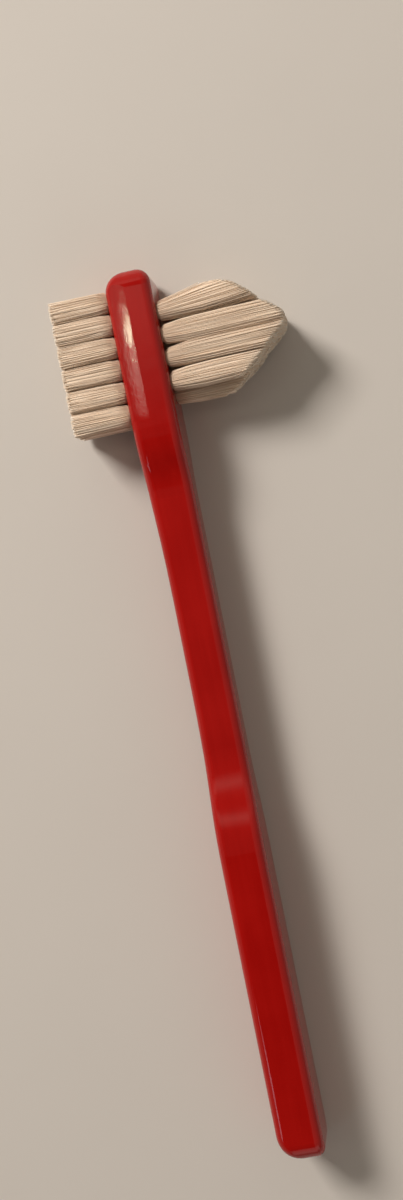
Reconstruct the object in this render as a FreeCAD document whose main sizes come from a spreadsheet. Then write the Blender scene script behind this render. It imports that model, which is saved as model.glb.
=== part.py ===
import FreeCAD, Part
import math
import os
import Sketcher

# A denture brush with short tufts on one side of the head and long tufts, cut to a point, on the other.
# It lies on its side, as it rests on a table: Y runs along the handle toward the head, X across it toward
# the long tufts, and Z up. The origin is in the middle of the grip's flat underside.

os.makedirs("parts", exist_ok=True)
doc = FreeCAD.newDocument("denture_brush")
sizes = doc.addObject("Spreadsheet::Sheet", "Sizes")

# Driving dimensions, in millimetres and degrees.
DIMENSIONS = {
    # The handle as a whole.
    "overall_length": 165.0,
    "origin_from_end": 30.0,
    "handle_width": 13.0,
    "neck_width": 8.0,
    "edge_radius": 1.6,
    # Thickness in the direction that the tufts point. The side with the long tufts is straight.
    "head_thickness": 8.5,
    "neck_thickness": 7.8,
    "grip_thickness": 8.4,
    # Where the thickness changes, from the tip of the head.
    "head_end": 29.0,
    "neck_start": 60.0,
    "neck_end": 77.0,
    "grip_start": 110.0,
    # Where the width changes, from the tip of the head.
    "wide_head_end": 29.0,
    "narrow_start": 42.0,
    "narrow_end": 89.0,
    "wide_grip_start": 108.0,
    # Corner radii of the two outlines.
    "tip_corner_short": 4.1,
    "tip_corner_long": 3.0,
    "end_corner_short": 5.2,
    "end_corner_long": 2.0,
    "width_corner": 3.5,
    # The shallow sloping flat on the upper side of the head, which starts at the tip.
    "flat_length": 27.5,
    "flat_reach": 3.8,
    "flat_drop": 0.27,
    # Holes for the tufts.
    "hole_diameter": 2.7,
    "hole_depth": 3.0,
    "tuft_clearance": 0.05,
    "row_spacing": 3.45,
    # Short tufts. A tuft flares up to its flare height, and then keeps its tip diameter.
    "short_count": 6,
    "short_first": 4.9,
    "short_pitch": 4.18,
    "short_length": 11.1,
    "short_tip_diameter": 3.4,
    "short_flare": 2.5,
    "short_splay": 0.8,
    # Long tufts. The first of each row leans most, toward the tip of the head.
    "long_count": 4,
    "long_first": 8.5,
    "long_pitch": 4.3,
    "long_length": 22.75,
    "long_tip_diameter": 4.05,
    "long_flare": 7.5,
    "long_splay": 1.0,
    "first_lean": 4.5,
    "other_lean": 0.4,
    # The point that the long tufts are cut to.
    "peak_from_tip": 14.3,
    "flank_angle": 42.0,
    "peak_radius": 2.0,
    # Flat metal anchors.
    "anchor_thickness": 0.25,
    "anchor_height": 1.5,
    "anchor_bite": 0.35,
    "fold_thickness": 0.5,
    "anchor_clearance": 0.02,
}
for row, (name, value) in enumerate(DIMENSIONS.items(), start=1):
    sizes.set(f"A{row}", str(value))
    sizes.setAlias(f"A{row}", name)
doc.recompute()

# Levels that several pieces share.
TIP = "(Sizes.overall_length - Sizes.origin_from_end)"
END = "(-Sizes.origin_from_end)"
MIDDLE = "(Sizes.handle_width / 2)"
FACES = {
    "short": "(Sizes.grip_thickness / 2 - Sizes.head_thickness)",
    "long": "(Sizes.grip_thickness / 2)",
}
OUTWARD = {"short": -1, "long": 1}
ROWS = (-1, 0, 1)
TUFT_SIDES = 8


def value_of(expression):
    """The present value of an expression of sheet dimensions."""
    return float(sizes.evalExpression(str(expression).replace("Sizes.", "")))


def bind(item, **expressions):
    """Bind properties of an object to expressions."""
    for name, expression in expressions.items():
        item.setExpression(name, expression)
    return item


def place(item, x, y, z):
    """Bind the position of an object to three expressions."""
    for axis, expression in zip("xyz", (x, y, z)):
        item.setExpression(f".Placement.Base.{axis}", str(expression))
    return item


def new_object(kind, label):
    item = doc.addObject(kind, label)
    item.Label = label
    return item


def new_sketch(body, name, plane, offset=None):
    """A sketch on one of the body's own origin planes, moved along the plane's normal."""
    sketch = body.newObject("Sketcher::SketchObject", name)
    support = next(item for item in body.Origin.OriginFeatures if item.Role == plane)
    sketch.AttachmentSupport = [(support, "")]
    sketch.MapMode = "FlatFace"
    if offset:
        sketch.setExpression("AttachmentOffset.Base.z", offset)
    return sketch


def hold(sketch, kind, *where, to=None):
    """Add a constraint, with its value bound to an expression if it has one."""
    if to is None:
        sketch.addConstraint(Sketcher.Constraint(kind, *where))
        return
    index = sketch.addConstraint(Sketcher.Constraint(kind, *where, value_of(to)))
    sketch.setExpression(f"Constraints[{index}]", str(to))


def hold_point(sketch, element, end, x, y):
    """Hold one end of a sketch element at two expressions, measured from the sketch's origin."""
    hold(sketch, "DistanceX", -1, 1, element, end, to=x)
    hold(sketch, "DistanceY", -1, 1, element, end, to=y)


def point(x, y):
    return FreeCAD.Vector(x, y, 0)


def shared_ends(sketch, first, second):
    """The end numbers at which two sketch elements meet."""

    def distance(pair):
        return (sketch.getPoint(first, pair[0]) - sketch.getPoint(second, pair[1])).Length

    return min([(a, b) for a in (1, 2) for b in (1, 2)], key=distance)


def join(sketch, kind, first, second):
    """Join two sketch elements where they meet, with kind Coincident or Tangent."""
    end, start = shared_ends(sketch, first, second)
    hold(sketch, kind, first, end, second, start)


def add_polygon(sketch, corners):
    """A closed polygon with each corner held at a pair of expressions."""
    places = [point(value_of(x), value_of(y)) for x, y in corners]
    lines = [
        sketch.addGeometry(Part.LineSegment(start, stop), False)
        for start, stop in zip(places, places[1:] + places[:1])
    ]
    for line, (x, y) in zip(lines, corners):
        hold_point(sketch, line, 1, x, y)
    for line, following in zip(lines, lines[1:] + lines[:1]):
        hold(sketch, "Coincident", line, 2, following, 1)


def add_handle_outline(sketch, across_is_x, right, left, changes, corners):
    """The closed outline of the handle in one view.

    right and left give the distances from the axis at the head, the neck and the grip, or one distance for
    a straight side. changes names where the head ends, the neck starts, the neck ends and the grip starts;
    there the outline is two equal arcs that bend opposite ways. corners holds the radii at the tip on the
    right, at the end on the right, at the end on the left and at the tip on the left.
    """

    def turned(across, along):
        return (across, along) if across_is_x else (along, across)

    stations = [f"({TIP} - Sizes.{name})" for name in changes]
    tip_right, end_right, end_left, tip_left = corners

    def side(distances, near_tip, near_end):
        first, last = (distances[0], f"{TIP} - {near_tip}"), (distances[-1], f"{END} + {near_end}")
        if len(distances) == 1:
            return [("line", *first), ("corner", *last)]
        kinds = ("bend", "line", "bend", "line")
        across = (distances[0], distances[1], distances[1], distances[2])
        return [("line", *first), *zip(kinds, across, stations), ("corner", *last)]

    up_left = [place_on for _, *place_on in reversed(side(left, tip_left, end_left))]
    kinds = ["line", "bend", "line", "bend", "line"] if len(left) > 1 else ["line"]
    vertices = [
        ("corner", f"{right[0]} - {tip_right}", TIP, tip_right),
        *((*vertex, end_right) for vertex in side(right, tip_right, end_right)),
        ("line", f"{right[-1]} - {end_right}", END, None),
        ("corner", f"{left[-1]} + {end_left}", END, end_left),
        *((kind, *vertex, tip_left) for kind, vertex in zip(kinds + ["corner"], up_left)),
        ("line", f"{left[0]} + {tip_left}", TIP, None),
    ]
    chain = []
    lines = []
    bends = []

    def add(geometry):
        chain.append(sketch.addGeometry(geometry, False))
        return chain[-1]

    def arc(*three):
        return add(Part.Arc(*(point(*turned(*place_on)) for place_on in three)))

    for start, stop in zip(vertices, vertices[1:] + vertices[:1]):
        kind, radius = start[0], start[3]
        across, along = value_of(start[1]), value_of(start[2])
        across_step, along_step = value_of(stop[1]) - across, value_of(stop[2]) - along
        halfway = (across + across_step / 2, along + along_step / 2)
        finish = (across + across_step, along + along_step)
        if kind == "line":
            line = add(Part.LineSegment(point(*turned(across, along)), point(*turned(*finish))))
            lines.append((line, start, stop))
        elif kind == "corner":
            bulge = (math.sqrt(2) - 1) / 2
            crown = (halfway[0] - along_step * bulge, halfway[1] + across_step * bulge)
            hold(sketch, "Radius", arc((across, along), crown, finish), to=radius)
        else:
            arc_radius = (across_step**2 + along_step**2) / (4 * abs(across_step))
            sag = arc_radius - math.sqrt(arc_radius**2 - (along_step / 4) ** 2)
            sag = math.copysign(sag, across_step)
            first = arc((across, along), (across + sag, along + along_step / 4), halfway)
            second = arc(halfway, (finish[0] - sag, finish[1] - along_step / 4), finish)
            bends.append((first, second))
    for line, start, stop in lines:
        hold_point(sketch, line, 1, *turned(start[1], start[2]))
        hold_point(sketch, line, 2, *turned(stop[1], stop[2]))
    bent = {arc_index for pair in bends for arc_index in pair}
    for first, second in zip(chain, chain[1:] + chain[:1]):
        join(sketch, "Tangent" if bent & {first, second} else "Coincident", first, second)
    for first, second in bends:
        hold(sketch, "Equal", first, second)


def sharp_edges(shape, least=30):
    """Names of the edges at which two faces of a shape meet at more than the given angle."""
    names = []
    for index, edge in enumerate(shape.Edges, start=1):
        faces = shape.ancestorsOfType(edge, Part.Face)
        if len(faces) != 2:
            continue
        middle = edge.valueAt((edge.FirstParameter + edge.LastParameter) / 2)
        normals = [face.normalAt(*face.Surface.parameter(middle)) for face in faces]
        if math.degrees(normals[0].getAngle(normals[1])) > least:
            names.append(f"Edge{index}")
    return names


# The handle: one moulding. Its outline seen from above is padded, what lies outside its outline seen from the
# side is cut away, and all long edges are rounded.
handle = new_object("PartDesign::Body", "handle")
place(handle, 0, 0, MIDDLE)


straight_side = "(Sizes.grip_thickness / 2)"
waisted_side = tuple(f"({straight_side} - Sizes.{part}_thickness)" for part in ("head", "neck", "grip"))
thickness_outline = new_sketch(handle, "thickness_outline", "XY_Plane")
add_handle_outline(
    thickness_outline,
    True,
    (straight_side,),
    waisted_side,
    ("head_end", "neck_start", "neck_end", "grip_start"),
    ("Sizes.tip_corner_long", "Sizes.end_corner_long", "Sizes.end_corner_short", "Sizes.tip_corner_short"),
)
blank = handle.newObject("PartDesign::Pad", "blank")
blank.Profile = thickness_outline
blank.SideType = "Symmetric"
bind(blank, Length="Sizes.handle_width")

half_widths = ("(Sizes.handle_width / 2)", "(Sizes.neck_width / 2)", "(Sizes.handle_width / 2)")
width_outline = new_sketch(handle, "width_outline", "YZ_Plane")
add_handle_outline(
    width_outline,
    False,
    half_widths,
    tuple(f"(-{half})" for half in half_widths),
    ("wide_head_end", "narrow_start", "narrow_end", "wide_grip_start"),
    ("Sizes.width_corner",) * 4,
)
beyond_tip, beyond_end = f"{TIP} + Sizes.width_corner", f"{END} - Sizes.width_corner"
frame_corners = (
    (beyond_end, "-Sizes.handle_width"),
    (beyond_tip, "-Sizes.handle_width"),
    (beyond_tip, "Sizes.handle_width"),
    (beyond_end, "Sizes.handle_width"),
)
add_polygon(width_outline, frame_corners)
waist = handle.newObject("PartDesign::Pocket", "waist")
waist.Profile = width_outline
waist.Type = "ThroughAll"
waist.SideType = "Symmetric"
doc.recompute()

rounded = handle.newObject("PartDesign::Fillet", "rounded_edges")
rounded.Base = (waist, sharp_edges(waist.Shape))
bind(rounded, Radius="Sizes.edge_radius")
doc.recompute()

# A shallow sloping flat along the upper side of the head, beside the short tufts. It runs out at the tip.
upper_side = "Sizes.handle_width / 2"
ridge = f"({FACES['short']} + Sizes.flat_reach)"
outside = f"({FACES['short']} - Sizes.flat_reach)"
flat_profile = new_sketch(handle, "flat_profile", "XZ_Plane", f"-{TIP} - Sizes.edge_radius")
flat_corners = (
    (ridge, upper_side),
    (ridge, "Sizes.handle_width"),
    (outside, "Sizes.handle_width"),
    (outside, f"{upper_side} - 2 * Sizes.flat_drop"),
)
add_polygon(flat_profile, flat_corners)
sloping_flat = handle.newObject("PartDesign::Pocket", "sloping_flat")
sloping_flat.Profile = flat_profile
sloping_flat.Reversed = True
bind(sloping_flat, Length="Sizes.flat_length + Sizes.edge_radius")


def tuft_along(side, index, row):
    """Where a tuft stands along the handle; the middle row of long tufts is half a pitch nearer to the grip."""
    pitches = index + 0.5 if side == "long" and row == 0 else index
    return f"({TIP} - Sizes.{side}_first - {pitches} * Sizes.{side}_pitch)"


def tuft_across(row):
    """Where a row of tufts stands across the head's width, from the middle."""
    return f"({row} * Sizes.row_spacing)"


# Blind holes for the tufts, and the slit beside each hole that its anchor is driven down.
slit_half_width = "(Sizes.anchor_thickness / 2 + Sizes.anchor_clearance)"
slit_half_length = "(Sizes.hole_diameter / 2 + Sizes.anchor_bite + Sizes.anchor_clearance)"
for side, face in FACES.items():
    outward = OUTWARD[side]
    hole_floor = f"{face} - {outward} * Sizes.hole_depth"
    column = new_sketch(handle, f"{side}_hole_column", "YZ_Plane", hole_floor)
    slits = new_sketch(handle, f"{side}_slit_column", "YZ_Plane", hole_floor)
    for row in ROWS:
        along, across = tuft_along(side, 0, row), tuft_across(row)
        centre, radius = point(value_of(along), value_of(across)), value_of("hole_diameter / 2")
        circle = column.addGeometry(Part.Circle(centre, FreeCAD.Vector(0, 0, 1), radius), False)
        hold(column, "Radius", circle, to="Sizes.hole_diameter / 2")
        hold_point(column, circle, 3, along, across)
        slit_corners = [
            (f"{along} + {a} * {slit_half_length}", f"{across} + {b} * {slit_half_width}")
            for a, b in ((-1, -1), (1, -1), (1, 1), (-1, 1))
        ]
        add_polygon(slits, slit_corners)
    cuts = []
    for sketch, label in ((column, "holes"), (slits, "slits")):
        cut = handle.newObject("PartDesign::Pocket", f"{side}_{label}")
        cut.Profile = sketch
        cut.Type = "ThroughAll"
        cut.Reversed = outward > 0
        cuts.append(cut)
    repeated = handle.newObject("PartDesign::LinearPattern", f"{side}_all_holes")
    repeated.Originals = cuts
    repeated.Direction = (column, ["H_Axis"])
    repeated.Reversed = True
    repeated.Mode = "Spacing"
    bind(repeated, Offset=f"Sizes.{side}_pitch", Occurrences=f"Sizes.{side}_count")
    handle.Tip = repeated
doc.recompute()


# The block that the long tufts are trimmed to: a wedge with a rounded ridge.
trim = new_object("PartDesign::Body", "long_trim")
place(trim, 0, 0, MIDDLE)
trim_outline = new_sketch(trim, "trim_outline", "XY_Plane")
peak_x = f"({FACES['long']} + Sizes.long_length)"
peak_y = f"({TIP} - Sizes.peak_from_tip)"
base_x = f"({FACES['long']} - Sizes.hole_depth - Sizes.edge_radius)"
flank = "(Sizes.flank_angle * 1 deg)"
ridge_centre = f"({peak_x} - Sizes.peak_radius)"
touch_x = f"({ridge_centre} + Sizes.peak_radius * sin{flank})"
touch_reach = f"(Sizes.peak_radius * cos{flank})"
base_reach = f"({touch_reach} + ({touch_x} - {base_x}) * tan{flank})"
flank_points = (
    (base_x, f"({peak_y} - {base_reach})"),
    (touch_x, f"({peak_y} - {touch_reach})"),
    (touch_x, f"({peak_y} + {touch_reach})"),
    (base_x, f"({peak_y} + {base_reach})"),
)
low_base, low_touch, high_touch, high_base = (point(value_of(x), value_of(y)) for x, y in flank_points)
ridge_arc = Part.Arc(low_touch, point(value_of(peak_x), value_of(peak_y)), high_touch)
low_flank = trim_outline.addGeometry(Part.LineSegment(low_base, low_touch), False)
ridge_round = trim_outline.addGeometry(ridge_arc, False)
high_flank = trim_outline.addGeometry(Part.LineSegment(high_touch, high_base), False)
trim_base = trim_outline.addGeometry(Part.LineSegment(high_base, low_base), False)
flank_ends = ((low_flank, 1), (low_flank, 2), (high_flank, 1), (high_flank, 2))
for (element, end), (x, y) in zip(flank_ends, flank_points):
    hold_point(trim_outline, element, end, x, y)
hold(trim_outline, "Radius", ridge_round, to="Sizes.peak_radius")
ring = (low_flank, ridge_round, high_flank, trim_base)
for element, following in zip(ring, ring[1:] + ring[:1]):
    join(trim_outline, "Coincident", element, following)
trim_block = trim.newObject("PartDesign::Pad", "trim_block")
trim_block.Profile = trim_outline
trim_block.SideType = "Symmetric"
bind(trim_block, Length="2 * Sizes.handle_width")
doc.recompute()


def tuft_section(label, x, y, z, diameter):
    """An outline across a tuft, in a plane parallel to the face that the tuft stands on."""
    section = new_object("Part::RegularPolygon", label)
    section.Polygon = TUFT_SIDES
    section.Placement.Rotation = FreeCAD.Rotation(FreeCAD.Vector(0, 1, 0), 90)
    bind(section, Circumradius=f"({diameter}) / 2")
    return place(section, x, y, z)


def add_tuft(side, row, index):
    """A tuft: a root that fills its hole, a flare and a lean above the head, and a window for its anchor."""
    label = f"{side}_tuft_{('low', 'middle', 'high')[row + 1]}_{index + 1}"
    face, outward = FACES[side], OUTWARD[side]
    along, across = tuft_along(side, index, row), f"({MIDDLE} + {tuft_across(row)})"
    root, tip = "(Sizes.hole_diameter - 2 * Sizes.tuft_clearance)", f"Sizes.{side}_tip_diameter"
    stations = (
        ("floor", "(-Sizes.hole_depth)", root),
        ("mouth", "0", root),
        ("flare", f"Sizes.{side}_flare", tip),
        ("tip", f"Sizes.{side}_length", tip),
    )
    lean = "0"
    if side == "long":
        lean = f"tan(Sizes.{'other' if index else 'first'}_lean * 1 deg)"
    sections = []
    for name, height, diameter in stations:
        free = "0" if name == "floor" else height
        along_here = f"{along} + {free} * {lean}"
        across_here = f"{across} + {row} * {free} * tan(Sizes.{side}_splay * 1 deg)"
        level = f"{face} + {outward} * {height}"
        sections.append(tuft_section(f"{label}_{name}", level, along_here, across_here, diameter))
    bundle = new_object("Part::Loft", f"{label}_bundle")
    bundle.Sections = sections
    bundle.Solid = True
    bundle.Ruled = True
    bundle.Linearize = True
    if side == "long":
        uncut, bundle = bundle, new_object("Part::Common", f"{label}_cut_to_point")
        bundle.Base, bundle.Tool = uncut, trim
    tuft = new_object("Part::Cut", label)
    tuft.Base = bundle
    clearance = "Sizes.anchor_clearance"
    tuft.Tool = add_plate(f"{label}_window", side, along, across, clearance, "Sizes.hole_diameter")
    return tuft


def add_plate(label, side, along, across, margin, length):
    """A flat plate over the fold of a tuft, standing on edge along the handle, with a margin all round."""
    face, outward = FACES[side], OUTWARD[side]
    plate = new_object("Part::Box", label)
    bind(
        plate,
        Length=f"Sizes.anchor_height + 2 * ({margin})",
        Width=f"{length} + 2 * ({margin})",
        Height=f"Sizes.anchor_thickness + 2 * ({margin})",
    )
    depth = f"Sizes.hole_depth - Sizes.fold_thickness + ({margin})"
    if outward < 0:
        depth = f"Sizes.hole_depth - Sizes.fold_thickness - Sizes.anchor_height - ({margin})"
    lowest = f"{face} - {outward} * ({depth})"
    return place(
        plate,
        lowest,
        f"{along} - ({length}) / 2 - ({margin})",
        f"{across} - Sizes.anchor_thickness / 2 - ({margin})",
    )


nodes = [handle]
for side in FACES:
    anchors = []
    for row in ROWS:
        for index in range(int(value_of(f"{side}_count"))):
            tuft = add_tuft(side, row, index)
            nodes.append(tuft)
            along, across = tuft_along(side, index, row), f"({MIDDLE} + {tuft_across(row)})"
            length = "(Sizes.hole_diameter + 2 * Sizes.anchor_bite)"
            anchors.append(add_plate(f"{tuft.Label}_anchor", side, along, across, "0", length))
    group = new_object("Part::Compound", f"{side}_tuft_anchors")
    group.Links = anchors
    nodes.append(group)
doc.recompute()

for item in doc.Objects:
    if "Invalid" in item.State or "Error" in item.State:
        raise RuntimeError(f"{item.Label} did not build: {item.State}")
for node in nodes:
    if node.Shape.isNull() or not node.Shape.isValid():
        raise RuntimeError(f"{node.Label} has no valid shape")
    node.Shape.exportStep(f"parts/{node.Label}.step")
    print(node.Label, len(node.Shape.Solids), round(node.Shape.Volume, 2))
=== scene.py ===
# %% [markdown]
# # A denture brush
#
# The brush is one red moulding with tufts of nylon on both sides of its head: short tufts with flat
# ends on one side, and long tufts cut to a point on the other. It lies on its side on a pale table, and
# we look down on it.
#
# All of it could be modelled here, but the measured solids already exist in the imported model, so that
# is loaded first. The handle keeps its measured shape and only gets a finish. A tuft is a plain solid
# there, and here it becomes a bundle of separate filaments.

# %% Load the measured model
import math
import random

import bmesh
import bpy
from mathutils import Matrix, Vector


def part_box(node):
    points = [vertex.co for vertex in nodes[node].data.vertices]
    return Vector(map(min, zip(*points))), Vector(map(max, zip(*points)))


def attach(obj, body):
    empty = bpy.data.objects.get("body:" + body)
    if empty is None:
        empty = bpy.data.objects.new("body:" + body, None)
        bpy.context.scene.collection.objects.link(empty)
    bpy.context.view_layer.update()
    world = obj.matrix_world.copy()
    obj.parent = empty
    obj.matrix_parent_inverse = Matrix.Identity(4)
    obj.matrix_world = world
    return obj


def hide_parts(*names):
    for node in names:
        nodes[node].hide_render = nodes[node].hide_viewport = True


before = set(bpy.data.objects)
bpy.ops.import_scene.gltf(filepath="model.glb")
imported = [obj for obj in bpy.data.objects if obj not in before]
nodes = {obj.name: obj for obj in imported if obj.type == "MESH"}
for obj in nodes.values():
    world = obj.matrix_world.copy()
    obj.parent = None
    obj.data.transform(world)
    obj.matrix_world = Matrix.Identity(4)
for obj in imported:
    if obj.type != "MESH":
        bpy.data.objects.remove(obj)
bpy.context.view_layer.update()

MM = 0.001
handle_low, handle_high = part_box("handle")
print("solids loaded:", len(nodes), "handle from", handle_low, "to", handle_high)

# %% [markdown]
# ## The head in numbers
#
# The levels of the head could be typed in, but they are read from the model, so the filaments follow it
# if its sizes change. Lengths are in metres. Y runs along the handle toward the head, X points the way
# the long tufts point, and Z is up. A tuft starts on the floor of its hole, so the two faces of the head
# lie a hole's depth outward from there.

# %% Levels and faces of the head
TIP = handle_high.y
TOP = handle_high.z
MIDDLE = (handle_low.z + handle_high.z) / 2
HOLE_DEPTH = 3.0 * MM
FACES = {
    "short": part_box("short_tuft_middle_1")[1].x - HOLE_DEPTH,
    "long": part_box("long_tuft_middle_1")[0].x + HOLE_DEPTH,
}
print("tip of the head at", round(TIP / MM, 1), "mm, middle of its width at", round(MIDDLE / MM, 1), "mm")
print("faces of the head at", [round(face / MM, 2) for face in FACES.values()], "mm")


# %% [markdown]
# ## Writing a finish
#
# A finish is a tree of shader nodes. It could be wired by hand, socket by socket, but then nobody can
# read its maths. So a small class wraps the output of a node, and the plain operators between two of
# them add the Math nodes. The reflected forms are there too, so that 1 - mask works.

# %% Shader maths as plain expressions
class Value:
    """The output of a shader node, for use in sums and products."""

    def __init__(self, tree, socket):
        self.tree, self.socket = tree, socket

    def joined(self, operation, first, second):
        return self.tree.node("ShaderNodeMath", {"operation": operation}, {0: first, 1: second})

    def __add__(self, other):
        return self.joined("ADD", self, other)

    def __radd__(self, other):
        return self.joined("ADD", other, self)

    def __sub__(self, other):
        return self.joined("SUBTRACT", self, other)

    def __rsub__(self, other):
        return self.joined("SUBTRACT", other, self)

    def __mul__(self, other):
        return self.joined("MULTIPLY", self, other)

    def __rmul__(self, other):
        return self.joined("MULTIPLY", other, self)

    def distance_to(self, other):
        return self.joined("ABSOLUTE", self - other, 0.0)


print("values can be added, subtracted and multiplied, and know their distance to a number")


# %% [markdown]
# Every other node comes from one method, which takes its type, its settings and what goes into its
# sockets. A finish and the surroundings of the whole scene are both such trees, so what they share is in
# one class. A ramp here is a smooth change between two values, and it serves for all the masks: a hard
# step would leave a line, and a straight ramp shows its two ends on a glossy face.

# %% A tree of nodes
class Tree:
    """A node tree, with one method that adds a node to it."""

    def __init__(self, tree):
        self.tree = tree

    def feed(self, socket, value):
        if isinstance(value, Value):
            self.tree.links.new(value.socket, socket)
        else:
            socket.default_value = value

    def node(self, kind, settings=None, inputs=None, output=0):
        added = self.tree.nodes.new(kind)
        for name, value in (settings or {}).items():
            setattr(added, name, value)
        for name, value in (inputs or {}).items():
            self.feed(added.inputs[name], value)
        return Value(self, added.outputs[output])

    def axes_of(self, vector):
        return [self.node("ShaderNodeSeparateXYZ", None, {0: vector}, axis) for axis in "XYZ"]

    def ramp(self, value, start, stop, low=0.0, high=1.0):
        """A smooth change from low to high while value goes from start to stop."""
        return self.node(
            "ShaderNodeMapRange", {"interpolation_type": "SMOOTHSTEP"},
            {"Value": value, "From Min": start, "From Max": stop, "To Min": low, "To Max": high},
        )


print("a tree adds a node by its type, its settings and its inputs")


# %% [markdown]
# A finish is the tree of a material. Its patterns could lie on the picture or on an unwrapped surface.
# They are measured in the piece's own place instead, its Object coordinates, so that they need no
# unwrapping and stay on the piece from every side.

# %% A finish
class Finish(Tree):
    """A material whose main shader is fed by the names of its sockets."""

    def __init__(self, name):
        self.material = bpy.data.materials.new(name)
        self.material.use_nodes = True
        super().__init__(self.material.node_tree)
        self.shader = self.tree.nodes["Principled BSDF"]

    def set(self, **sockets):
        for name, value in sockets.items():
            self.feed(self.shader.inputs[name.replace("_", " ")], value)

    def place(self):
        return self.node("ShaderNodeTexCoord", output="Object")

    def noise(self, scale, detail=3.0, roughness=0.5, stretch=(1, 1, 1)):
        place = self.node("ShaderNodeMapping", None, {"Vector": self.place(), "Scale": stretch})
        return self.node(
            "ShaderNodeTexNoise", None,
            {"Vector": place, "Scale": scale, "Detail": detail, "Roughness": roughness},
        )

    def mix(self, share, first, second):
        return self.node("ShaderNodeMix", {"data_type": "RGBA"}, {0: share, 6: first, 7: second}, 2)

    def bump(self, height, distance):
        return self.node("ShaderNodeBump", None, {"Height": height, "Distance": distance, "Strength": 1.0})


def dress(piece_name, finish):
    """Gives a measured piece a finish and nothing else."""
    materials = nodes[piece_name].data.materials
    materials.clear()
    materials.append(finish.material)


red = Finish("red_plastic_finish")
across, along, height = red.axes_of(red.place())
print("first finish:", red.material.name)

# %% [markdown]
# ## The red moulding
#
# The handle is one injection moulding in glossy red plastic. One flat red would do for a drawing, but
# the pigment of a moulding flows with the plastic, so two close shades are mixed along the handle. The
# gloss is high and nearly even. It only drops a little in fine marks, which handling leaves along the
# brush, and those marks are kept for the relief as well.

# %% Colour and gloss of the red plastic
DEEP_RED = (0.345, 0.0034, 0.0022, 1)
LIGHT_RED = (0.390, 0.0052, 0.0036, 1)
pigment = red.noise(90, detail=4)
flow = red.noise(700, detail=2, stretch=(1, 0.06, 1))
red_shade = red.mix(red.ramp(pigment * 0.6 + flow * 0.4, 0.35, 0.65), DEEP_RED, LIGHT_RED)

marks = red.ramp(red.noise(2600, detail=2, stretch=(1, 0.025, 1)), 0.66, 0.74)
gloss = 0.055 + red.noise(500, detail=4) * 0.03 + marks * 0.06
red.set(Base_Color=red_shade, Roughness=gloss, IOR=1.5)
print("colour and gloss of the handle take", len(red.tree.nodes), "nodes")

# %% [markdown]
# A sloping flat is cut along one edge of the head. It has a fine uneven skin of its own, which frays the
# light in it. That could be a second material on its faces, but the flat runs out into the neck with no
# edge, so a mask with soft ends marks it by its place: near the head, on the side of the short tufts,
# and high up.

# %% Where the sloping flat is
FLAT_START = TIP - 28.0 * MM
FLAT_END_LENGTH = 1.5 * MM
FLAT_EDGE = FACES["short"] + 3.8 * MM
EDGE_SOFTNESS = 0.2 * MM
on_flat = (
    red.ramp(along, FLAT_START, FLAT_START + FLAT_END_LENGTH)
    * red.ramp(across, FLAT_EDGE + EDGE_SOFTNESS, FLAT_EDGE - EDGE_SOFTNESS)
    * red.ramp(height, TOP - 0.9 * MM, TOP - 0.5 * MM)
)
mottle = red.noise(1300, detail=3, roughness=0.6, stretch=(1, 0.45, 1))
print("the flat starts", round((TIP - FLAT_START) / MM, 1), "mm from the tip")

# %% [markdown]
# Moulded plastic is never quite flat. The broad faces stand proud in their middle by a crown, there is
# a slow waviness and a very fine grain, and a thin line runs round the sides where the halves of the
# mould met. All of it is about a tenth of a millimetre. Modelled in the mesh, that would change the
# measured shape and need very many faces, so it is a bump in the finish.

# %% Relief of the red plastic
RELIEF_DEPTH = 0.10 * MM
HALF_FACE = 4.2 * MM
CROWN = 1.2
crown = across * across * (-CROWN / HALF_FACE**2)
waviness = red.noise(260, detail=1)
grain = red.noise(1900, detail=2)
mould_line = red.ramp(height.distance_to(MIDDLE), 0.16 * MM, 0.04 * MM)

# Each height is a share of the relief's depth.
uneven = waviness * 0.10 + grain * 0.012 + marks * -0.01 + on_flat * mottle * 0.12
relief = crown + uneven + mould_line * 0.16
red.set(Normal=red.bump(relief, RELIEF_DEPTH))
dress("handle", red)
print("handle finish has", len(red.tree.nodes), "nodes")

# %% [markdown]
# ## The metal anchors
#
# Each tuft is folded in half over a small flat strip of metal, and the strip is driven into the head with
# it. The strips are deep in their holes, where nobody sees them while the tufts are in. So they could be
# left plain, but then they would be the only bare pieces. They keep their measured shape and get a simple
# rolled metal, with fine lines along the strip.

# %% Anchor metal
metal = Finish("anchor_metal_finish")
rolled = metal.noise(2500, detail=3, stretch=(1, 0.1, 1))
metal.set(
    Base_Color=metal.mix(rolled, (0.62, 0.44, 0.20, 1), (0.78, 0.60, 0.32, 1)),
    Metallic=1.0,
    Roughness=0.22 + rolled * 0.2,
)
for side in ("short", "long"):
    dress(f"{side}_tuft_anchors", metal)
print("anchors dressed:", nodes["short_tuft_anchors"].name, "and", nodes["long_tuft_anchors"].name)
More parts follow.
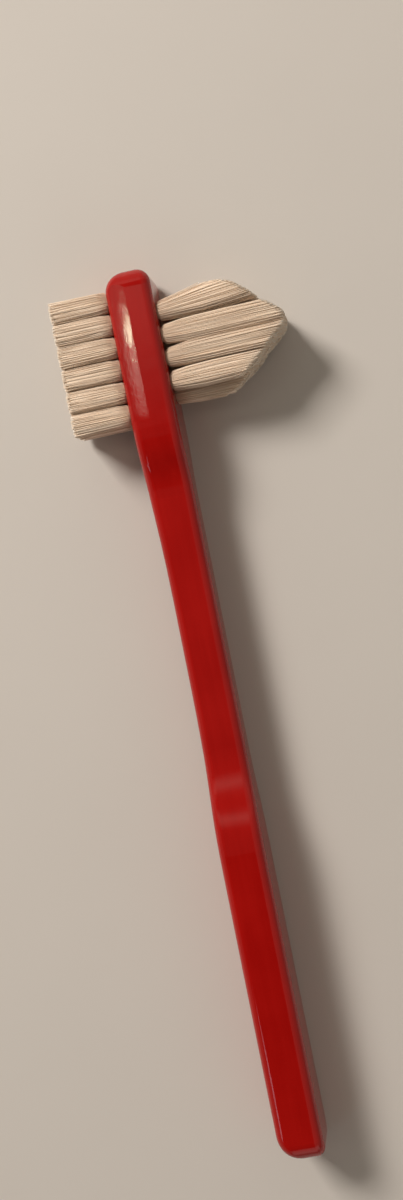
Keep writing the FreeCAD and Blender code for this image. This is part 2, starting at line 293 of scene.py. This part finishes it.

# %% [markdown]
# ## The nylon
#
# The filaments are off-white nylon. Every filament keeps a number of its own, its tone, so that
# neighbours differ a little, and every point of it knows how far up the tuft it is. The finish reads
# both, and a painted glint for the tip, from a colour attribute that is written while the mesh is made.
# Near the face the nylon is painted darker, a painted shade where the crowded tufts shade each other,
# and the tips are painted lighter, a painted glint where light catches the cut ends.
#
# Real nylon lets some light through, which could be a translucent shader. On closed rods that would come
# out darker, because the light is lost between them, so the nylon is a plain pale surface with a soft
# gloss.

# %% Nylon
nylon = Finish("nylon_finish")
strand = nylon.node("ShaderNodeAttribute", {"attribute_name": "strand"}, output="Color")
tone, up_share, painted_tip_glint = [
    nylon.node("ShaderNodeSeparateColor", None, {0: strand}, name) for name in ("Red", "Green", "Blue")
]
cream = nylon.mix(tone, (0.88, 0.71, 0.555, 1), (0.94, 0.785, 0.635, 1))
# Painted shade: the nylon is painted darker near the face of the head, where the crowded tufts shade each
# other.
painted_root_shade = nylon.mix(nylon.ramp(up_share, 0.0, 0.12), (0.84, 0.655, 0.50, 1), cream)
drawn = nylon.noise(3000, detail=2, stretch=(0.05, 1, 1))
# Painted glint: the tips are mixed toward a pale cream, a little for most of them and fully for a quarter
# of them.
nylon.set(
    Base_Color=nylon.mix(painted_tip_glint, painted_root_shade, (0.92, 0.87, 0.79, 1)),
    Roughness=0.44 + drawn * 0.14,
    IOR=1.53,
)
print("nylon finish has", len(nylon.tree.nodes), "nodes")


# %% [markdown]
# ## How a tuft spreads
#
# A tuft leaves its hole tightly bound and spreads at once, until it nearly touches its neighbours along
# the handle. It could be a plain cone, but a real bundle widens quickly just above the face and slowly
# from there on. So its half-widths are given at three levels, in mm, along the handle and across it: at
# the mouth of the hole, where the bundle has flared, and at the tips.
#
# The outer rows also splay by a degree or so. The long tufts lean toward the head, and the first of them
# leans most and fans out, more slowly than the others, because no tuft beyond it holds it.

# %% The widths and angles of the tufts
SPREADS = {
    "short": {"mouth": (1.97, 1.66), "flare": (2.02, 1.70), "tip": (2.08, 1.76)},
    "long": {"mouth": (1.86, 1.70), "flare": (2.10, 1.84), "tip": (2.18, 1.92)},
}
MOUTH_HEIGHT = 0.3 * MM
FLARE_HEIGHT = {"short": 1.5 * MM, "long": 5.0 * MM}
SPLAY_ANGLE = {"short": 0.8, "long": 1.0}
LEAN_ANGLE = {"short": 0.0, "long": 0.4}
FIRST_LONG_LEAN = 4.5
FIRST_LONG_FAN = 1.27
FIRST_LONG_FLARE = 2.2


def smooth_share(value, end):
    """Rises smoothly from 0 to 1 while value goes from 0 to end."""
    share = min(max(value / end, 0.0), 1.0)
    return share * share * (3 - 2 * share)


print("above its hole a short tuft is about", 2 * SPREADS["short"]["flare"][0], "mm wide along the handle")

# %% [markdown]
# Each tuft is read from its solid: its round end on the floor of the hole gives the place and size of
# the root, and its far end gives the length. Neighbours also press a bundle from round toward square,
# which closes the gaps between them. A square with sharp corners would look like a block, so a round
# place is moved most of the way to a square with rounded corners.

# %% One tuft
ROOT_SEARCH = 0.05 * MM
SQUARED = 0.85


class Tuft:
    """One tuft: where it stands, how it widens, leans and splays."""

    def __init__(self, side, row, index):
        self.name = f"{side}_tuft_{row}_{index}"
        self.side, self.index, self.outward = side, index, 1 if side == "long" else -1
        self.face = FACES[side]
        floor = self.face - self.outward * HOLE_DEPTH
        solid = nodes[self.name].data.vertices
        root = [vert.co for vert in solid if abs(vert.co.x - floor) < ROOT_SEARCH]
        low = Vector((min(corner.y for corner in root), min(corner.z for corner in root)))
        high = Vector((max(corner.y for corner in root), max(corner.z for corner in root)))
        self.root, self.root_radius = (low + high) / 2, (high.x - low.x) / 2
        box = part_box(self.name)
        self.length = max(abs(box[0].x - self.face), abs(box[1].x - self.face))
        first_long = side == "long" and index == 1
        self.lean = math.tan(math.radians(FIRST_LONG_LEAN if first_long else LEAN_ANGLE[side]))
        self.fan = FIRST_LONG_FAN if first_long else 1.0
        self.flare_height = FLARE_HEIGHT[side] * (FIRST_LONG_FLARE if first_long else 1.0)
        outer_row = {"low": -1, "middle": 0, "high": 1}[row]
        self.splay = outer_row * math.tan(math.radians(SPLAY_ANGLE[side]))
        self.chance = random.Random(self.name)

    def spread(self, up):
        """The half-widths of the bundle at a height above the face, along the handle and across it."""
        flared = smooth_share(up, self.flare_height)
        widened = max(up, 0.0) / self.length
        mouth, flare, tip = [Vector(SPREADS[self.side][name]) * MM for name in ("mouth", "flare", "tip")]
        widths = Vector((self.root_radius, self.root_radius)).lerp(mouth, smooth_share(up, MOUTH_HEIGHT))
        widths += (flare - mouth) * flared + (tip - flare) * widened
        widths.x *= 1 + (self.fan - 1) * min(2 * widened, 1.0)
        return widths

    def pressed(self, place, up):
        """A place in a round bundle, moved toward a square with rounded corners above the face."""
        if place.length == 0 or up <= 0:
            return place
        fourth = (place.x**4 + place.y**4) ** 0.25
        square = place * (place.length / fourth)
        return place.lerp(square, SQUARED * smooth_share(up, self.flare_height))

    def centre(self, up):
        return self.root + Vector((self.lean, self.splay)) * max(up, 0.0)


first_tuft = Tuft("short", "high", 1)
print("first short tuft stands", round((TIP - first_tuft.root.x) / MM, 2), "mm from the tip")

# %% [markdown]
# ## Trimming
#
# The short tufts are cut level. The long tufts are cut together to a wedge with a rounded ridge. Cutting
# finished bundles with planes would leave thousands of new edges, so each filament is made at its right
# length from the start, worked out from where it stands along the head. The wedge has the sizes of the
# measured model.

# %% How long a filament is
RIDGE = TIP - 14.3 * MM
RIDGE_RADIUS = 2.0 * MM
RIDGE_HEIGHT = 22.75 * MM
FLANK = math.radians(42.0)


def trimmed_reach(tuft, place_along):
    """The height above the face at which a filament is cut, for its place along the handle."""
    if tuft.side == "short":
        return tuft.length
    away = abs(place_along - RIDGE)
    if away < RIDGE_RADIUS * math.cos(FLANK):
        return RIDGE_HEIGHT - RIDGE_RADIUS + math.sqrt(RIDGE_RADIUS**2 - away**2)
    touch = RIDGE_HEIGHT - RIDGE_RADIUS * (1 - math.sin(FLANK))
    return touch - (away - RIDGE_RADIUS * math.cos(FLANK)) / math.tan(FLANK)


ridge_reach = trimmed_reach(Tuft("long", "low", 1), RIDGE)
print("filaments at the ridge are cut", round(ridge_reach / MM, 2), "mm up")

# %% [markdown]
# No trim is sharp. The outer filaments of a bundle end a little lower, which rounds its edge, and the
# two outer corners of the long side are rounded further. A third power of the place keeps the rounding
# near the edge and leaves the middle level.

# %% Rounded edges of the trim
ROUNDED_EDGE = {"short": 0.18, "long": 0.3}
CORNER_AT_TIP = 4.5
CORNER_AT_GRIP = 2.0
LONG_COUNT = 4


def rounded_off(tuft, share, toward_tip):
    """How much shorter, in mm, a filament is: share is how far out it stands in its bundle."""
    rounded = ROUNDED_EDGE[tuft.side] * share**3
    if tuft.side == "long" and tuft.index == 1:
        rounded += CORNER_AT_TIP * max(0.0, toward_tip) ** 3
    if tuft.side == "long" and tuft.index == LONG_COUNT:
        rounded += CORNER_AT_GRIP * max(0.0, -toward_tip) ** 3
    return rounded


print("the outermost filament of a short tuft ends", ROUNDED_EDGE["short"], "mm lower")

# %% [markdown]
# ## Where a filament runs
#
# A filament could be a curve of its own, but thousands of curves are slow. Here it is a rule: it keeps
# its place in the bundle while the bundle widens and leans, bends a little in its middle, and drifts a
# little at its end.

# %% The path of one filament
FILAMENT_RADIUS = 0.072 * MM


def filament_place(tuft, plan, up, reach):
    """Where a filament is, along and across the handle, at a height above the face."""
    share = min(max(up / reach, 0.0), 1.0)
    inside = tuft.spread(up) - Vector((FILAMENT_RADIUS, FILAMENT_RADIUS))
    own = tuft.pressed(plan["place"], up) * inside
    return tuft.centre(up) + own + plan["bend"] * math.sin(math.pi * share) + plan["drift"] * share**2


print("a filament is", round(2 * FILAMENT_RADIUS / MM, 3), "mm thick")

# %% [markdown]
# The filaments of a bundle are packed like the seeds of a sunflower: each next one turns by the golden
# angle and stands a little further out, which fills a round bundle evenly without rows. What differs
# from one to the next is left to chance: tone, bend, drift, a turn about its own axis, and a ragged
# length. A few strays drift further, and a quarter of the tips get a full painted glint, a pale colour
# in place of light caught on the cut end. The seed of a tuft is its name, so every run gives the same
# brush.
#
# A filament's length follows from where its tip ends up, and the tip's place from the length, so both
# are found in a few rounds.

# %% The plan of one filament
FILAMENTS = 320
GOLDEN_ANGLE = math.pi * (3 - math.sqrt(5))
TONE_MIDDLE, TONE_SCATTER = 0.5, 0.24
BEND_SCATTER, DRIFT_SCATTER, LENGTH_SCATTER = 0.07, 0.11, 0.22
STRAY_SHARE, STRAY_DRIFT = 0.05, 2.2
# Painted glint on the tips: the share of tips that get it fully, the full amount, and the faint amount the
# others get.
GLINTING_TIP_SHARE, GLINTING_TIP, PLAIN_TIP = 0.25, 1.0, 0.25
LENGTH_ROUNDS = 4


def filament_plan(tuft, number):
    """A filament's own place, tone, bend and length."""
    chance = tuft.chance
    share = math.sqrt((number + 0.5) / FILAMENTS)
    turn = number * GOLDEN_ANGLE
    place = Vector((math.cos(turn), math.sin(turn))) * share
    stray = STRAY_DRIFT if chance.random() < STRAY_SHARE else 1.0
    plan = {
        "place": place,
        "tone": min(max(chance.gauss(TONE_MIDDLE, TONE_SCATTER), 0.0), 1.0),
        "bend": Vector((chance.gauss(0, BEND_SCATTER), chance.gauss(0, BEND_SCATTER))) * MM,
        "drift": Vector((chance.gauss(0, DRIFT_SCATTER), chance.gauss(0, DRIFT_SCATTER))) * stray * MM,
        "turn": chance.uniform(0, math.tau),
        # The cut key holds how much painted glint the tip gets.
        "cut": GLINTING_TIP if chance.random() < GLINTING_TIP_SHARE else PLAIN_TIP,
    }
    reach = tuft.length
    for _ in range(LENGTH_ROUNDS):
        reach = trimmed_reach(tuft, filament_place(tuft, plan, reach, reach).x)
    shorter = abs(chance.gauss(0, LENGTH_SCATTER)) + rounded_off(tuft, share, place.x)
    plan["reach"] = reach - shorter * MM
    return plan


middle_plan = filament_plan(Tuft("short", "high", 1), 0)
print("middle filament of a short tuft reaches", round(middle_plan["reach"] / MM, 2), "mm above the face")

# %% [markdown]
# ## The heart of a bundle
#
# A real tuft has many more filaments than these, so close that nothing shows between them. If only
# the rods stood there, light would be lost in the cracks and the tuft would look thin and dark. So each
# bundle has a smooth heart: a disc that is extruded a few times along the widths of the bundle, some
# way inside its surface, and that ends just below the tips.

# %% Extruding the heart
HEART_SIDES = 12
HEART_STEPS = (0.0, 0.035, 0.2, 0.48, 0.76, 1.0)
HEART_SHARE = 0.85
HEART_BELOW_TIPS = 0.9 * MM
HEART_TONE = 0.45


def facing_outward(tuft):
    """Turns a level disc so that it faces the way the tuft points."""
    return Matrix.Rotation(tuft.outward * math.pi / 2, 4, "Y")


def strand_colour(tuft, tone, up, cut):
    """What the nylon finish reads at a point: tone, share of the tuft's length, and the tip's painted
    glint.
    """
    return (tone, smooth_share(up, tuft.length), cut, 1.0)


def add_heart(bm, tuft, strand_layer):
    made = bmesh.ops.create_circle(
        bm, cap_ends=True, segments=HEART_SIDES, radius=1.0, matrix=facing_outward(tuft)
    )
    face = made["verts"][0].link_faces[0]
    tip_centre, tip_width = tuft.centre(tuft.length).x, tuft.spread(tuft.length).x
    low_end, middle_end, high_end = [
        trimmed_reach(tuft, tip_centre + way * tip_width) for way in (-1, 0, 1)
    ]
    for share in HEART_STEPS:
        if share > 0:
            face = bmesh.ops.extrude_discrete_faces(bm, faces=[face])["faces"][0]
        for number, vert in enumerate(face.verts):
            turn = number * math.tau / HEART_SIDES
            toward = Vector((math.cos(turn), tuft.outward * math.sin(turn)))
            side_end = high_end if toward.x > 0 else low_end
            up = share * (middle_end + (side_end - middle_end) * abs(toward.x) - HEART_BELOW_TIPS)
            place = tuft.centre(up) + tuft.pressed(toward, up) * tuft.spread(up) * HEART_SHARE
            vert.co = (tuft.face + tuft.outward * up, place.x, place.y)
            vert[strand_layer] = strand_colour(tuft, HEART_TONE, up, 0.0)


trial = bmesh.new()
add_heart(trial, first_tuft, trial.verts.layers.float_color.new("strand"))
print("a heart has", len(trial.faces), "faces")
trial.free()

# %% [markdown]
# ## The rings of a rod
#
# A filament is a thin rod with four sides, given by a few rings. Round rods would cost three times the
# faces, and nobody sees the sides of a thing so thin. Below the face the two halves of the folded tuft
# lie on either side of the anchor and meet under it. Above the face the rings lie closest near the face,
# where the bundle flares.

# %% Where the rings of a rod are
ROD_SIDES = 4
HALF_ANCHOR_GAP = 0.27 * MM
BELOW_FACE = ((-2.85, 0.15), (-2.35, 1.0), (-0.7, 1.0), (0.0, 1.0))
ABOVE_FACE = (0.035, 0.2, 0.48, 0.76, 0.97, 1.0)


def place_in_hole(tuft, plan, up, kept_width):
    """Where a filament is in the hole: beside the anchor, or drawn in to the fold under it."""
    place = filament_place(tuft, plan, up, plan["reach"])
    beside = place.y - tuft.root.y
    if up < 0:
        beside = math.copysign(max(abs(beside), HALF_ANCHOR_GAP), beside)
    place.y = tuft.root.y + beside * kept_width
    return place


def rod_rings(tuft, plan):
    """The height of each ring above the face, with its place along and across the handle."""
    rings = [(depth * MM, place_in_hole(tuft, plan, depth * MM, kept)) for depth, kept in BELOW_FACE]
    for share in ABOVE_FACE:
        up = share * plan["reach"]
        rings.append((up, filament_place(tuft, plan, up, plan["reach"])))
    return rings


print("a rod has", len(rod_rings(first_tuft, middle_plan)), "rings")

# %% [markdown]
# ## The rods of a bundle
#
# The rods could be made one by one, but bmesh is quick when it does the same thing to many faces. So all
# the rods of a tuft start as small discs in the hole, and every step extrudes all the discs at once and
# moves each to the next ring on its own path. The colour that the finish reads is written in the same
# pass.

# %% Extruding the rods
def add_rods(bm, tuft, strand_layer):
    plans = [filament_plan(tuft, number) for number in range(FILAMENTS)]
    rings = [rod_rings(tuft, plan) for plan in plans]
    discs = []
    for plan in plans:
        made = bmesh.ops.create_circle(
            bm, cap_ends=True, segments=ROD_SIDES, radius=FILAMENT_RADIUS,
            matrix=facing_outward(tuft) @ Matrix.Rotation(plan["turn"], 4, "Z"),
        )
        discs.append(made["verts"][0].link_faces[0])
    last = len(rings[0]) - 1
    for step in range(last + 1):
        if step > 0:
            discs = bmesh.ops.extrude_discrete_faces(bm, faces=discs)["faces"]
        for disc, plan, ring in zip(discs, plans, rings):
            up, place = ring[step]
            goal = Vector((tuft.face + tuft.outward * up, place.x, place.y))
            shift = goal - disc.calc_center_median()
            # Only the last ring, the tip, gets the painted glint.
            colour = strand_colour(tuft, plan["tone"], up, plan["cut"] if step == last else 0.0)
            for vert in disc.verts:
                vert.co += shift
                vert[strand_layer] = colour


trial = bmesh.new()
add_rods(trial, Tuft("short", "high", 1), trial.verts.layers.float_color.new("strand"))
print("the rods of a tuft have", len(trial.faces), "faces,", len(trial.faces) // FILAMENTS, "each")
trial.free()


# %% [markdown]
# Heart and rods go into one mesh. A mesh for every filament would fill the scene with thousands of
# pieces that nobody moves alone. The sides of the rods are shaded smooth, so that four sides read as
# round, and their cut ends are smooth too, because they have four corners. Only the end of the heart
# stays flat, and the rods hide it.

# %% The mesh of one tuft
def make_tuft(tuft):
    """The filaments of a tuft, as an object in the place of its solid."""
    bm = bmesh.new()
    strand_layer = bm.verts.layers.float_color.new("strand")
    add_heart(bm, tuft, strand_layer)
    add_rods(bm, tuft, strand_layer)
    for face in bm.faces:
        face.smooth = len(face.verts) == 4
    bmesh.ops.recalc_face_normals(bm, faces=bm.faces)
    mesh = bpy.data.meshes.new(tuft.name + "_filaments")
    bm.to_mesh(mesh)
    bm.free()
    mesh.materials.append(nylon.material)
    piece = bpy.data.objects.new(tuft.name + "_filaments", mesh)
    bpy.context.scene.collection.objects.link(piece)
    return piece


print("a tuft is made of", FILAMENTS, "rods and one heart")

# %% [markdown]
# ## Filling the head
#
# There are thirty tufts: three rows of six short ones, and three rows of four long ones whose middle row
# stands half a step nearer to the grip. One bundle could be copied thirty times, but the eye finds the
# copies at once, so each is made with its own seed. Each takes the place of its solid.

# %% All tufts
SHORT_COUNT = 6
faces_made = 0
for side, count in (("short", SHORT_COUNT), ("long", LONG_COUNT)):
    for row in ("low", "middle", "high"):
        for index in range(1, count + 1):
            tuft = Tuft(side, row, index)
            piece = make_tuft(tuft)
            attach(piece, "root")
            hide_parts(tuft.name)
            faces_made += len(piece.data.polygons)
print("faces in all the filaments:", faces_made)

# %% [markdown]
# ## The table
#
# The brush lies on a plain pale sheet. A curved backdrop would be needed if the camera saw a horizon,
# but it looks down, so a flat sheet much larger than the picture is enough. It only carries the shadow:
# it is matt and nearly even, and lies a hair below the brush so that the two surfaces don't meet.

# %% Table
TABLE_HALF_WIDTH = 2.0
TABLE_BELOW = 0.05 * MM
paper = Finish("pale_table_finish")
paper.set(
    Base_Color=paper.mix(paper.noise(40, detail=5), (0.615, 0.57, 0.53, 1), (0.64, 0.595, 0.555, 1)),
    Roughness=0.75,
)
bm = bmesh.new()
level = Matrix.Translation((0, 0, -TABLE_BELOW))
bmesh.ops.create_grid(bm, x_segments=1, y_segments=1, size=TABLE_HALF_WIDTH, matrix=level)
table_mesh = bpy.data.meshes.new("table")
bm.to_mesh(table_mesh)
bm.free()
table_mesh.materials.append(paper.material)
table = bpy.data.objects.new("table", table_mesh)
bpy.context.scene.collection.objects.link(table)
print("table is", round(table.dimensions.x, 2), "m wide")


# %% [markdown]
# ## Lamps
#
# One broad soft lamp from the upper left throws the shadow to the lower right, and a weak one from the
# grip's end lightens that shadow. Two small ones are there only to be mirrored. Glossy plastic shows a
# lamp where the angle in equals the angle out, so the place of a highlight gives the place of its lamp:
# the first stands where the sloping flat of the head mirrors it to the camera, and the second where the
# rounded edge of the grip does.

# %% Lamps
def add_lamp(name, place, aim, size, power, colour):
    lamp = bpy.data.lights.new(name, "AREA")
    lamp.shape, lamp.size, lamp.size_y = "RECTANGLE", size[0], size[1]
    lamp.energy, lamp.color = power, colour
    lamp_object = bpy.data.objects.new(name, lamp)
    bpy.context.scene.collection.objects.link(lamp_object)
    towards = Vector(aim) - Vector(place)
    turned = towards.to_track_quat("-Z", "Y").to_matrix().to_4x4()
    lamp_object.matrix_world = Matrix.Translation(place) @ turned
    return lamp_object


BRUSH_MIDDLE = (0, 0.05, 0)
SEEN_IN_FLAT, BELOW_IT = (-0.141, 0.206, 0.453), (-0.141, 0.206, 0)
SEEN_IN_GRIP, GRIP_EDGE = (-0.2515, -0.162, 0.3585), (-0.004, -0.018, 0.012)
# Name, place, aim, width and length in metres, power in watts, colour.
lamps = [
    add_lamp("broad_lamp", (-0.50, 0.75, 0.70), BRUSH_MIDDLE, (0.34, 0.34), 11.2, (1, 0.95, 0.88)),
    add_lamp("fill_lamp", (0.15, -0.75, 0.40), BRUSH_MIDDLE, (0.90, 0.50), 0.6, (1, 0.93, 0.86)),
    add_lamp("flat_lamp", SEEN_IN_FLAT, BELOW_IT, (0.0105, 0.010), 0.0175, (0.90, 1.0, 0.68)),
    add_lamp("grip_lamp", SEEN_IN_GRIP, GRIP_EDGE, (0.040, 0.15), 0.045, (0.86, 0.86, 1.0)),
]
print("lamps:", [lamp.name for lamp in lamps])

# %% [markdown]
# ## What the plastic mirrors
#
# A photographer hangs dark and light boards round a glossy thing, to choose what it mirrors. They could
# be modelled, but a board is easier to shape as a rule for the light of the surroundings, which depends
# only on the direction. Its three parts run from -1 to 1.
#
# A level face mirrors what is above it. A dark lane hangs there, so that the red keeps its depth. It is
# darkest over the grip, and reaches far over to the side of the short tufts. Beyond the head the room is
# brighter, which lifts the red toward the tip, apart from a gap that the shoulder of the grip would
# mirror.

# %% The lane above the brush and the light beyond its head
world = bpy.data.worlds.new("room")
bpy.context.scene.world = world
world.use_nodes = True
room = Tree(world.node_tree)
sideways, toward_head, upward = room.axes_of(room.node("ShaderNodeTexCoord", output="Generated"))

SHOULDER = 0.44
dark_lane = (
    room.ramp(sideways, -0.80, -0.65)
    * room.ramp(sideways, 0.12, 0.04)
    * room.ramp(upward, 0.45, 0.65)
)
over_neck = dark_lane * room.ramp(toward_head, -0.16, -0.08)
beyond_head = room.ramp(toward_head, 0.10, 0.22) * room.ramp(toward_head.distance_to(SHOULDER), 0.12, 0.24)
print("lane and light beyond the head take", len(world.node_tree.nodes), "nodes")

# %% [markdown]
# The highlight on the sloping flat doesn't end with its lamp. It fades slowly along the head, toward the
# grip. A second lamp would end as sharply as the first, so the tail is a small bright patch of the
# surroundings instead, which can be sharp on the side of the tip and soft on the other.

# %% The patch for the tail of the highlight
beside_flat = (
    room.ramp(sideways, -0.352, -0.310)
    * room.ramp(sideways, -0.262, -0.270)
    * room.ramp(sideways, -0.305, -0.280, 1.0, 0.55)
)
flat_tail = beside_flat * room.ramp(toward_head, 0.108, 0.150) * room.ramp(toward_head, 0.182, 0.168)
print("with the patch", len(world.node_tree.nodes), "nodes")

# %% [markdown]
# Everywhere else the room is a dim warm grey. An even grey alone would do for a matt thing, and here it
# only fills what the lamps leave dark. The parts are added up, and the sum is the strength of the
# background.

# %% Strength and colour of the surroundings
DIM = 0.25
LANE_DEPTH = 0.225
BEYOND_GLOW, BEYOND_GLOW_IN_LANE = 0.15, 0.40
NECK_GLOW = 0.06
TAIL_GLOW = 3.6
glow = DIM - dark_lane * LANE_DEPTH + beyond_head * (BEYOND_GLOW + dark_lane * BEYOND_GLOW_IN_LANE)
glow = glow + over_neck * NECK_GLOW + flat_tail * TAIL_GLOW
backdrop = world.node_tree.nodes["Background"]
room.feed(backdrop.inputs["Strength"], glow)
room.feed(backdrop.inputs["Color"], (1.0, 0.90, 0.76, 1))
print("surroundings have", len(world.node_tree.nodes), "nodes")

# %% [markdown]
# ## The camera
#
# The camera looks down on the brush from about 28 cm, turned so that the head is at the top left, and a
# little from the side of the long tufts, so that a narrow band of that side shows. It could stand far
# away with a long lens, but then every level face would mirror nearly the same spot of the room, and
# the red would look the same from end to end. The lens is worked out from the size of a pixel on the
# brush, which was measured first.

# %% Camera
PICTURE_HEIGHT = 1200
METRES_PER_PIXEL = 0.1803 * MM
DISTANCE = 280 * MM
SENSOR_HEIGHT = 36
camera_data = bpy.data.cameras.new("camera")
camera_data.sensor_fit = "VERTICAL"
camera_data.sensor_height = SENSOR_HEIGHT
camera_data.lens = SENSOR_HEIGHT * DISTANCE / (PICTURE_HEIGHT * METRES_PER_PIXEL)
camera_data.clip_start = 0.01
camera = bpy.data.objects.new("camera", camera_data)
bpy.context.scene.collection.objects.link(camera)
print("lens", round(camera_data.lens, 1), "mm at", round(DISTANCE, 3), "m")

# %% [markdown]
# The camera's place follows from two turns and the point that it looks at. Its three axes are built from
# them directly, because that shows which way is up in the picture better than three angles do.

# %% Aiming the camera
TURN = math.radians(11.5)
SIDE_TILT = math.radians(7.0)
target = Vector((2.05 * MM, 73.5 * MM, TOP))
backward = Vector((math.sin(SIDE_TILT), 0, math.cos(SIDE_TILT)))
picture_up = Vector((math.sin(TURN), math.cos(TURN), 0))
picture_right = picture_up.cross(backward).normalized()
picture_up = backward.cross(picture_right)
turned = Matrix((picture_right, picture_up, backward)).transposed().to_4x4()
camera.matrix_world = Matrix.Translation(target + backward * DISTANCE) @ turned
bpy.context.scene.camera = camera
bpy.context.scene.view_settings.view_transform = "Standard"
print("camera stands", [round(part, 3) for part in camera.matrix_world.translation], "m")
